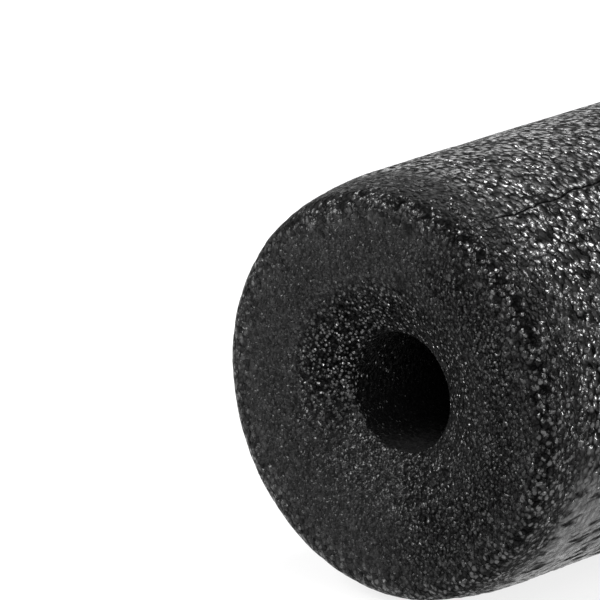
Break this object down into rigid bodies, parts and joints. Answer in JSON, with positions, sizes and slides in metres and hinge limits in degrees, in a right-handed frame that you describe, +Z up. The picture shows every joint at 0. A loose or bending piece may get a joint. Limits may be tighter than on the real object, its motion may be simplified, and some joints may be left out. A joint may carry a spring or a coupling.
{
  "type": "foam pipe insulation tube",
  "caption": "Straight length of thick-walled black foam tube, slit along one side, that wraps a small pipe to insulate it.",
  "frame": {"origin": "middle of the tube's length and width, on the surface that it lies on", "axes": "+X along the tube, -X end being the one in the picture; +Y across; +Z up"},
  "size_m": [0.9144, 0.0658, 0.0659],
  "materials": {
    "foam": "pebbled closed-cell skin, finer cut cells on the end faces"
  },
  "bodies": {
    "root": {"foam_tube": "foam"}
  },
  "joints": []
}
